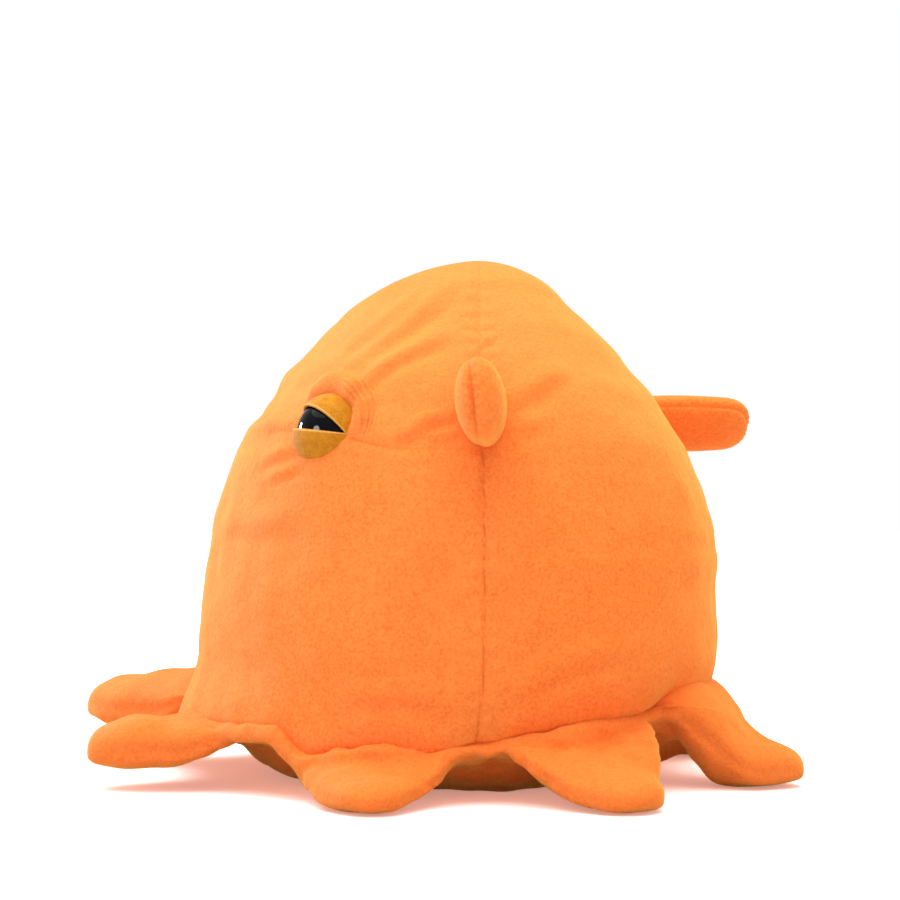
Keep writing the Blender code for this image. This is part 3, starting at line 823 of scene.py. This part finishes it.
# painted light: a share from 0 to 1 up the top of the mantle, which pales the cloth there
store(mantle, "painted_top_light", smooth_step(height, *PAINTED_TOP_LIGHT))
phase_left, strength_left = wrinkles(points, 1)
phase_right, strength_right = wrinkles(points, -1)
store(mantle, "eye_phase", np.where(points[:, 0] > 0, phase_left, phase_right))
store(mantle, "eye_wrinkle", strength_left + strength_right)
mantle.data.materials.append(plush("mantle_plush", (("side_seam", 1.0), ("eye_seam", 0.6)), True))
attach(mantle, "root")
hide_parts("mantle")
print("mantle faces", len(mantle.data.polygons))

# %% [markdown]
# Arms and webs were sewn as one star-shaped cushion. Each arm here is a loop of points carried out
# along its path, domed above its edge seam and flatter below. Eight copies of one arm would look
# machined, so a table gives each arm its own direction, reach and heights.

# %% Arms
WEB_THICKNESS = 0.0042
CLEARANCE = 0.0004
ARM_ROOT_RADIUS = 0.0800
ARM_ROOT_RISE = 0.0200
ARM_ROOT_THICKNESS = 0.005
ARM_TIP_WIDTH = 0.0310
ARM_NECK = 0.04
ARM_SEAM_SHARE = 0.38
ARM_BLUNTNESS = 0.70
ARM_SOLE = 0.35
EDGE_SEAM = 0.09
EDGE_SEAM_WIDTH = 0.16
LAST_ARM_RING = 0.999
# shares of the arm's length between which each of these changes
TAPER_RANGE = (0.10, 0.95)
NECK_RANGE = (0.0, 0.38)
SIDE_LIFT_RANGE = (0.20, 0.85)
CREST_RANGE = (0.30, 0.75)
ROOT_RISE_RANGE = (0.05, 0.50)

# name: azimuth, swing of the tip, reach, underside, crest at the root, top near the tip, root width
ARMS = {
    "arm_front_left": (13.0, -2.0, 0.1615, 0.0150, 0.0400, 0.0355, 0.0600),
    "arm_face_left": (53.0, -3.0, 0.148, 0.0075, 0.0210, 0.0275, 0.0600),
    "arm_side_left": (99.0, 4.0, 0.133, 0.0, 0.0200, 0.0125, 0.0690),
    "arm_fin_left": (143.5, 0.0, 0.140, 0.0, 0.0145, 0.0130, 0.0690),
    "arm_back": (184.5, 1.5, 0.1385, 0.0, 0.0400, 0.0176, 0.0600),
    "arm_back_right": (238.0, 2.0, 0.138, 0.0, 0.0270, 0.0135, 0.0600),
    "arm_side_right": (282.0, 0.0, 0.140, 0.0, 0.0235, 0.0130, 0.0600),
    "arm_face_right": (326.0, 2.0, 0.142, 0.0, 0.0215, 0.0130, 0.0600),
}


def arm_grid(azimuth, swing, reach, underside, crest, tip_top, root_width, rows=64, columns=48):
    """Rings along the arm. The reach grows evenly and the azimuth swings by the share squared.

    The width tapers and the crest changes in a smooth S. Near the root the underside arches off the
    floor, and the sides lift to the web by the square of their distance from the middle. Past the blunt
    end each ring shrinks as a quarter ellipse.
    """
    share = crowding(rows, LAST_ARM_RING)
    sine, cosine = np.sin(around(columns)), np.cos(around(columns))
    ahead = outward(azimuth + swing * share**2)
    aside = np.stack([-ahead[..., 1], ahead[..., 0], np.zeros_like(share)], axis=-1)
    shrink = np.sqrt(1.0 - np.clip((share - ARM_BLUNTNESS) / (1.0 - ARM_BLUNTNESS), 0.0, 1.0) ** 2)
    taper = smooth_step(share, *TAPER_RANGE)
    neck = 1.0 - ARM_NECK * (1.0 - smooth_step(share, *NECK_RANGE))
    half_width = (root_width + (ARM_TIP_WIDTH - root_width) * taper) * neck / 2
    below_seam = ARM_SEAM_SHARE * (tip_top - underside)
    seam = underside + below_seam
    side_lift = max(0.0, float(hem_height(azimuth)) - CLEARANCE - WEB_THICKNESS / 2 - seam)
    lift = side_lift * (1.0 - smooth_step(share, *SIDE_LIFT_RANGE))
    above = (crest + (tip_top - crest) * smooth_step(share, *CREST_RANGE) - seam) * shrink
    below = below_seam * (ARM_SOLE + (1.0 - ARM_SOLE) * shrink)
    across = np.sign(cosine) * np.abs(cosine) ** 0.85 * (1.0 - EDGE_SEAM * bell(sine, EDGE_SEAM_WIDTH))
    room = np.minimum(ARM_ROOT_RISE, above + below - ARM_ROOT_THICKNESS)
    arched = room * (1.0 - smooth_step(share, *ROOT_RISE_RANGE))
    rise = np.where(sine >= 0, above * sine, (arched - below) * np.abs(sine) ** 0.6)
    out = ARM_ROOT_RADIUS + (reach - ARM_ROOT_RADIUS) * share
    grid = ahead * out[..., None] + aside * (half_width * shrink * across)[..., None]
    grid[..., 2] += seam + lift * across**2 + rise
    return grid


print("arms:", len(ARMS))

# %% [markdown]
# Between each two arms the web rises in an arch, and under it sits the stuffed belly with its flat to
# rest on. One grid of rings makes both: out from the belly, up to the arches, round the web's edge,
# and back in under the mantle, where the edge is tucked so that no gap shows along the hem.

# %% Webs and belly
WEB_MARGIN = 0.0035
WEB_FLARE = 0.0050
WEB_LIFT = 0.0090
ARCH_POWER = 0.6
BELLY_FLAT_RADIUS = 0.0600
BELLY_RADIUS = 0.0680
WEB_INNER_RADIUS = 0.0870
EDGE_RAISE = 0.0016
HEM_OVERLAP = 0.0030
TUCK = 0.0030
# each ring of the underside: its radius and its share of the way up to the web's underside
BELLY_RINGS = ((0.012, 0), (0.028, 0), (0.042, 0), (BELLY_FLAT_RADIUS, 0), (BELLY_RADIUS, 0.08),
               ((BELLY_RADIUS + WEB_INNER_RADIUS) / 2, 0.35), (WEB_INNER_RADIUS, 0.75))
UNDER_MANTLE_SHARES = (0.85, 0.6, 0.3)


def web_heights(azimuth):
    """(top, underside, share of the way up the arch) of the web's edge: an arch between each two arms."""
    turns = np.array([row[0] for row in ARMS.values()])
    undersides = np.array([row[3] for row in ARMS.values()])
    ring = np.append(turns, turns[0] + 360.0)
    lows = np.append(undersides, undersides[0])
    place = (azimuth - turns[0]) % 360.0 + turns[0]
    here = np.clip(np.searchsorted(ring, place, side="right") - 1, 0, len(turns) - 1)
    arch = np.sin(math.pi * (place - ring[here]) / (ring[here + 1] - ring[here]))
    top = hem_height(azimuth)
    low = np.minimum(top - WEB_THICKNESS, WEB_LIFT + np.interp(place, ring, lows))
    return top, low + (top - WEB_THICKNESS - low) * arch**ARCH_POWER, arch


def skirt_grid(columns=360):
    """Rings over the webs: flat belly, rise to the arches, rounded edge, then in under the mantle."""
    azimuth = np.arange(columns) * 360.0 / columns
    top, under, arch = web_heights(azimuth)
    away = outward(azimuth)
    rows = []
    for radius, share in BELLY_RINGS:
        row = away * radius
        row[:, 2] += share * under
        rows.append(row)
    hem = mantle_point(azimuth, hem_height(azimuth))
    for turn in np.radians(np.linspace(-90, 90, 9)):
        beyond = WEB_MARGIN + WEB_FLARE * (1.0 - arch) - WEB_THICKNESS / 2 * (1.0 - math.cos(turn))
        row = hem + away * beyond[:, None]
        row[:, 2] = (top + EDGE_RAISE + under) / 2 + (top + EDGE_RAISE - under) / 2 * math.sin(turn)
        rows.append(row)
    tucked = hem - away * TUCK
    tucked[:, 2] = top + HEM_OVERLAP
    rows.append(tucked)
    for share in UNDER_MANTLE_SHARES:
        rows.append(under_mantle(azimuth, np.full(columns, share)) - (0, 0, CLEARANCE))
    return np.stack(rows)


print("web arches up to", round(float(web_heights(np.arange(360.0))[1].max()) * 1000, 1), "mm")

# %% [markdown]
# The arms and the webs are joined by a remesh and smoothed well, so that the webs run into the arms
# like cloth does. The strip next to the hem sags with it, and small waves rough up its roll of cloth.
# Nothing may go below the floor, so the lowest points are pressed flat on it.

# %% Skirt
SKIRT_VOXEL = 0.0013
SKIRT_SMOOTHINGS = 6
# the strip that sags: radii and heights between which it sets in and fades out
STRIP_INNER = (0.070, 0.092)
STRIP_OUTER = (0.106, 0.124)
STRIP_LOWER = (0.0, 0.012)
STRIP_UPPER = (0.024, 0.032)

cushions = [skirt_grid()] + [arm_grid(*row) for row in ARMS.values()]
skirt = new_piece("arm_skirt", joined([facing_out(closed_grid(grid)) for grid in cushions]))
melt(skirt, SKIRT_VOXEL, SKIRT_SMOOTHINGS)
points = read_vectors(skirt.data.vertices, "co")
azimuth = azimuth_of(points)
radius = np.hypot(points[:, 0], points[:, 1])
soft = smooth_step(radius, *STRIP_INNER) * (1.0 - smooth_step(radius, *STRIP_OUTER))
soft = soft * smooth_step(points[:, 2], *STRIP_LOWER) * (1.0 - smooth_step(points[:, 2], *STRIP_UPPER))
points[:, 2] += eased(azimuth, SAG) * soft
move_points(skirt, points)
normals = read_vectors(skirt.data.vertex_normals, "vector")
moved = 0.0006 * ripples(points, 0.030, seed=11) + 0.0004 * ripples(points, 0.012, seed=12)
moved += 0.0006 * ripples(points, 0.008, seed=13) * soft
points = points + normals * moved[:, None]
points[:, 2] = np.maximum(points[:, 2], 0.0)
move_points(skirt, points)
# painted shade: the arms and webs take a darker copy of the cloth, 0.3 of the way to its deep tone
skirt.data.materials.append(plush("skirt_plush", depth=0.3))
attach(skirt, "root")
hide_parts("skirt", *ARMS)
print("skirt faces", len(skirt.data.polygons))

# %% [markdown]
# A fin is a small stuffed paddle: two shapes of cloth sewn round their edge and turned, so a seam
# groove runs over the top, round the blunt end and back below. A smooth ellipsoid would miss that, so
# the rings are pulled in along the seam and lightly puckered beside it.

# %% Fin surface
FIN_LENGTH = 0.0520
FIN_HEIGHT = 0.0310
FIN_THICKNESS = 0.0180
FIN_ROOT_DEPTH = 0.0060
FIN_END_START = 0.78
FIN_END_POWER = 2.8
LAST_FIN_RING = 0.9995
SEAM_OFFSET = 0.0022
FIN_GROOVE_DEPTH = 0.0011
FIN_GROOVE_WIDTH = 0.0015
FIN_PUCKER_HEIGHT = 0.0003
FIN_PUCKER_PITCH = 0.0032
FIN_PUCKER_AWAY = 0.0016


def fin_grid(side, sweep, roll, rows=90, columns=96):
    """Rings out along the fin: an ellipse that shrinks at the blunt end, grooved at top and bottom."""
    share = crowding(rows, LAST_FIN_RING)
    past = np.clip((share - FIN_END_START) / (1.0 - FIN_END_START), 0.0, 1.0)
    shrink = (1.0 - past**FIN_END_POWER) ** 0.5
    swell = 0.90 + 0.10 * np.sin(math.pi * np.clip(share / 0.9, 0.0, 1.0))
    out = share * (FIN_LENGTH + FIN_ROOT_DEPTH) - FIN_ROOT_DEPTH
    y = FIN_THICKNESS / 2 * shrink * swell * np.cos(around(columns))
    z = FIN_HEIGHT / 2 * shrink * swell * np.sin(around(columns))
    from_seam = np.abs(y + SEAM_OFFSET)
    groove = FIN_GROOVE_DEPTH * bell(from_seam, FIN_GROOVE_WIDTH)
    puckers = FIN_PUCKER_HEIGHT * np.sin(z * 2 * math.pi / FIN_PUCKER_PITCH + out * 900.0)
    puckers = puckers * np.exp(-((from_seam - FIN_PUCKER_AWAY) / FIN_PUCKER_AWAY) ** 2)
    reach = np.hypot(np.hypot(y, z), 1e-6)
    keep = 1.0 - np.clip((0.4 * groove + 0.2 * puckers) / np.maximum(reach, 0.003), 0.0, 0.5)
    out = out - (2.2 * groove + 0.9 * puckers) * past**2
    grid = np.stack([out + 0 * y, y * keep, z * keep], axis=-1)
    ahead = outward(np.array(side * (SIDE_SEAM_AZIMUTH + sweep)))
    aside = np.array([-ahead[1], ahead[0], 0.0])
    turn = math.radians(roll)
    across = aside * math.cos(turn) + np.array([0, 0, math.sin(turn)])
    rise = np.array([0, 0, math.cos(turn)]) - aside * math.sin(turn)
    root = mantle_point(side * SIDE_SEAM_AZIMUTH, FIN_CENTRE_HEIGHT)
    return root + grid @ np.array([ahead, across, rise]), from_seam, out + 0 * y


print("fin length", FIN_LENGTH)

# %% [markdown]
# The two fins are the same paddle, but they have settled differently: the left one stands nearly
# square to the body, and the right one is swept back and rolled. Both share one cloth.

# %% Fins
# name: side, sweep, roll
FINS = {"left_fin": (1, -7.0, 6.0), "right_fin": (-1, 26.0, 55.0)}

fin_plush = plush("fin_plush", (("edge_seam", 0.6),))
for name, settings in FINS.items():
    grid, from_seam, along = fin_grid(*settings)
    fin = new_piece(name + "_plush", facing_out(closed_grid(grid)))
    store(fin, "edge_seam", end_values(from_seam))
    store(fin, "edge_seam_along", end_values(np.broadcast_to(grid[..., 2] + along, from_seam.shape)))
    fin.data.materials.append(fin_plush)
    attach(fin, "root")
    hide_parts(name)
    print(name, "faces", len(fin.data.polygons))

# %% [markdown]
# Each eye is a polished black ball on a shank, half hidden by two lids of mustard cloth. The ball is
# a profile turned round the eye's axis. A lid is a curved shell that turns about the line through the
# eye's corners, so its free edge is a clean arc. A sphere cut in half would have no thickness there.

# %% Eye and lid surfaces
SHANK_RADIUS = 0.0030
SHANK_LENGTH = 0.0230
SHANK_COLLAR = 1.2
LID_THICKNESS = 0.0010
LID_WRAP = 112.0
LID_CORNER_ANGLE = 9.0
LID_STRETCH = 1.10


def eye_grid(side, columns=72):
    """Rings of (radius, height) pairs: up the shank, then over the ball."""
    first = -math.acos(SHANK_RADIUS * SHANK_COLLAR / EYE_BALL_RADIUS)
    turn = np.linspace(first, math.radians(89.0), 48)
    ring = np.concatenate([[SHANK_RADIUS, SHANK_RADIUS], EYE_BALL_RADIUS * np.cos(turn)])[:, None]
    high = np.concatenate([[-SHANK_LENGTH, -EYE_BALL_RADIUS], EYE_BALL_RADIUS * np.sin(turn)])[:, None]
    spin = around(columns)
    grid = np.stack([ring * np.cos(spin), ring * np.sin(spin), high + 0 * spin], axis=-1)
    return in_eye(side, grid)


def lid_grid(side, first, last, twist, rows=56, sweep_count=30):
    """A loop through the shell's section, carried from one corner of the eye to the other.

    The lid is a little taller than the ball. The twist turns it about the line straight out of the eye,
    positive up at the outer corner.
    """
    corner = np.radians(np.linspace(LID_CORNER_ANGLE, 180.0 - LID_CORNER_ANGLE, rows))[:, None]
    sweep = np.radians(np.linspace(first, last, sweep_count))
    inner = EYE_BALL_RADIUS + CLEARANCE
    middle, half = inner + LID_THICKNESS / 2, LID_THICKNESS / 2
    bend = np.linspace(0.0, math.pi, 7)[1:-1]
    roundness = half / middle * math.copysign(1.0, last - first)
    distance = np.concatenate([np.full(sweep_count, middle + half), middle + half * np.cos(bend),
                               np.full(sweep_count, middle - half), middle - half * np.cos(bend)])
    angle = np.concatenate([sweep, sweep[-1] + roundness * np.sin(bend), sweep[::-1],
                            sweep[0] - roundness * np.sin(bend)])
    grid = np.stack([distance * np.cos(corner), distance * np.sin(corner) * np.sin(angle),
                     distance * np.sin(corner) * np.cos(angle)], axis=-1)
    from_edge = np.broadcast_to(np.abs(angle - sweep[0]) * middle, grid.shape[:2])
    turn = math.radians(twist)
    x, y = grid[..., 0].copy(), grid[..., 1] * LID_STRETCH
    grid[..., 0] = x * math.cos(turn) - y * math.sin(turn)
    grid[..., 1] = x * math.sin(turn) + y * math.cos(turn)
    return in_eye(side, grid), from_edge


print("eye ball across", round(2 * EYE_BALL_RADIUS, 4))

# %% [markdown]
# The ball's plastic is nearly black, with the faintest haze so that it isn't one flat colour. A low
# specular level keeps the white room from greying it, and its two reflections get lamps of their own
# later. The upper lid hangs lower at the outer corner, which gives the sleepy look.

# %% Eyes and lids
EYE_BLACK = (0.002, 0.002, 0.003, 1.0)
EYE_HAZE = (0.005, 0.005, 0.007, 1.0)
# name: angle of the free edge above the middle, how far the shell wraps from there, twist
LIDS = {"upper_lid": (17.0, LID_WRAP, -10.0), "lower_lid": (-22.0, -LID_WRAP, 5.0)}

gloss = Finish("eye_gloss", Roughness=0.05, Specular_IOR_Level=0.07)
haze = gloss.noise(260.0, 2.0, 0.5).between(0.3, 0.8)
gloss.coloured(gloss.mixed(haze, EYE_BLACK, EYE_HAZE))
lid_finish = lid_cloth("lid_felt")
for word, side in (("left", 1), ("right", -1)):
    ball = new_piece(word + "_eye_ball", facing_out(closed_grid(eye_grid(side))))
    ball.data.materials.append(gloss.material)
    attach(ball, "root")
    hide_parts(word + "_eye")
    for lid, (first, wrap, twist) in LIDS.items():
        grid, from_edge = lid_grid(side, first, first + wrap, twist)
        cover = new_piece(f"{word}_{lid}_cloth", facing_out(closed_grid(grid)))
        store(cover, "from_edge", end_values(from_edge))
        cover.data.materials.append(lid_finish)
        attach(cover, "root")
        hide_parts(f"{word}_{lid}")
    print(word, "eye and lids made")

# %% [markdown]
# The washer that locks each shank sits inside the stuffing. It is a rigid moulding, so the solid from
# the frame stays and only gets its plastic.

# %% Washers
PLASTIC_SHADE = (0.74, 0.74, 0.71, 1.0)
PLASTIC_LIGHT = (0.82, 0.82, 0.80, 1.0)

plastic = Finish("washer_plastic", Roughness=0.45, Specular_IOR_Level=0.4)
flow = plastic.noise(180.0, 3.0, 0.5).between(0.3, 0.7)
plastic.coloured(plastic.mixed(flow, PLASTIC_SHADE, PLASTIC_LIGHT))
plastic.bumped(plastic.noise(900.0), 0.0001, 0.3)
for name in ("left_eye_washer", "right_eye_washer"):
    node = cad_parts[name]
    node.data.materials.clear()
    node.data.materials.append(plastic.material)
print("washers finished")

# %% [markdown]
# The toy stands on a wide sheet of white paper. Bounced light sees the paper as a mid grey, so it
# doesn't flood the toy from below. The camera and reflections see it white, with a faint warm glow
# painted over the whole floor: painted light that tints the shadow, for the colour the orange cloth
# throws into the shadow on the real paper. Elsewhere the glow is lost in the white.

# %% Floor
FLOOR_HALF = 30.0
PAPER_BOUNCING = (0.62, 0.62, 0.62, 1.0)
PAPER_SEEN = (0.98, 0.98, 0.98, 1.0)
NO_GLOW = (0.0, 0.0, 0.0, 1.0)
PAINTED_BOUNCE_GLOW = (0.52, 0.26, 0.20, 1.0)

floor_mesh = bpy.data.meshes.new("floor")
corners = [(x * FLOOR_HALF, y * FLOOR_HALF, 0) for x, y in ((-1, -1), (1, -1), (1, 1), (-1, 1))]
floor_mesh.from_pydata(corners, [], [(0, 1, 2, 3)])
floor = placed("floor", floor_mesh)
paper = Finish("floor_paper", Roughness=1.0, Specular_IOR_Level=0.0, Emission_Strength=1.0)
seen = paper.rays("Is Camera Ray", "Is Glossy Ray")
paper.coloured(paper.mixed(seen, PAPER_BOUNCING, PAPER_SEEN))
# painted light: a warm glow for the camera and reflections, which shows only in the shadow
paper.plug(paper.shader.inputs["Emission Color"], paper.mixed(seen, NO_GLOW, PAINTED_BOUNCE_GLOW))
floor_mesh.materials.append(paper.material)
print("floor", 2 * FLOOR_HALF, "m across")

# %% [markdown]
# A white sky fills the room softly. Where the camera, a reflection or a clear material looks at it, a
# backdrop of strength 1 takes its place. So the background is white, and the light on the toy stays
# at a plain level, at which the cloth renders about as it is written.

# %% Sky
SKY_FILL = 0.77
WHITE = (1.0, 1.0, 1.0, 1.0)

world = bpy.data.worlds.new("studio")
bpy.context.scene.world = world
sky = Finish("studio", world)
seen = sky.rays("Is Camera Ray", "Is Glossy Ray", "Is Transmission Ray")
fill = sky.tree.nodes["Background"]
fill.inputs["Color"].default_value = WHITE
fill.inputs["Strength"].default_value = SKY_FILL
backdrop = sky.node("ShaderNodeBackground", {}, {"Color": WHITE, "Strength": 1.0})
blend = sky.node("ShaderNodeMixShader", {}, {0: seen, 1: sky.value(fill), 2: sky.value(backdrop)})
sky.plug(sky.tree.nodes["World Output"].inputs["Surface"], sky.value(blend))
print("sky fill", SKY_FILL)

# %% [markdown]
# A wide, soft key light stands high above and a little to the picture's left. Its broad angle leaves
# hardly any edge on the shadows, as a large softbox does.

# %% Key light
KEY_STRENGTH = 3.5
KEY_ANGLE = 75.0
KEY_LEFT, KEY_NEAR, KEY_UP = 0.12, 0.02, 0.90

key_from = -picture_right * KEY_LEFT + towards_camera * KEY_NEAR + np.array([0, 0, KEY_UP])
key = placed("key", bpy.data.lights.new("key", "SUN"))
key.data.energy = KEY_STRENGTH
key.data.angle = math.radians(KEY_ANGLE)
key.rotation_euler = looking(key_from, np.zeros(3))
print("key from", np.round(key_from, 2))

# %% [markdown]
# A polished eye mirrors the lamps of its studio. Two round lamps stand where the camera's line of
# sight bounces off the ball, and they are hidden from the camera and from matt surfaces. Painted
# spots would be simpler, but they would stay put when the view changes.

# %% Reflections on the eye
GLINT_DISTANCE = 0.5
# place on the ball (outer, up), the lamp's radius and its power
GLINTS = (((-0.31, -0.31), 0.05, 6.0), ((0.35, -0.30), 0.10, 5.0))

centre, outer, up, out = eye_frame(1)
for number, ((across, rise), size, power) in enumerate(GLINTS):
    normal = outer * across + up * rise + out * math.sqrt(1.0 - across**2 - rise**2)
    spot = centre + normal * EYE_BALL_RADIUS
    seen_from = (eye_point - spot) / np.linalg.norm(eye_point - spot)
    bounced = 2.0 * (normal @ seen_from) * normal - seen_from
    lamp = placed(f"glint_{number}", bpy.data.lights.new(f"glint_{number}", "AREA"))
    lamp.data.shape = "DISK"
    lamp.data.size = 2.0 * size
    lamp.data.energy = power
    lamp.location = spot + bounced * GLINT_DISTANCE
    lamp.rotation_euler = looking(spot + bounced * GLINT_DISTANCE, spot)
    lamp.visible_camera = False
    lamp.visible_diffuse = False
bpy.context.scene.view_settings.view_transform = "Standard"
print("lamps for reflections:", len(GLINTS))
